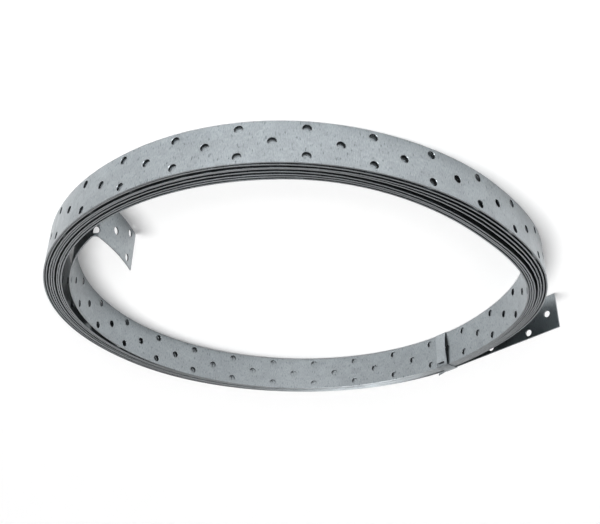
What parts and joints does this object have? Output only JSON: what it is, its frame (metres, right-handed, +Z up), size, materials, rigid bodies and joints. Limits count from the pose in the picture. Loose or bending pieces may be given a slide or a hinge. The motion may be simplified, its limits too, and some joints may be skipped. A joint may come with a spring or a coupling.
{
  "type": "perforated steel strap",
  "caption": "Loose flat coil of galvanised punched steel strap with staggered nail holes, a straight outer end, a bent inner tab and a thin steel binding tie.",
  "frame": {"origin": "centre of the bounding box on the floor plane, under the coil", "axes": "+Z up along the coil's axis; the straight outer end runs towards -Y at the -X side, its outer face looking to -X"},
  "size_m": [0.3754, 0.3705, 0.0314],
  "materials": {
    "galvanised_strap": "galvanised, satin, faint mottle",
    "tie_strip": "galvanised, smooth"
  },
  "bodies": {
    "root": {"strap": "galvanised_strap", "binding_tie": "tie_strip"}
  },
  "joints": []
}
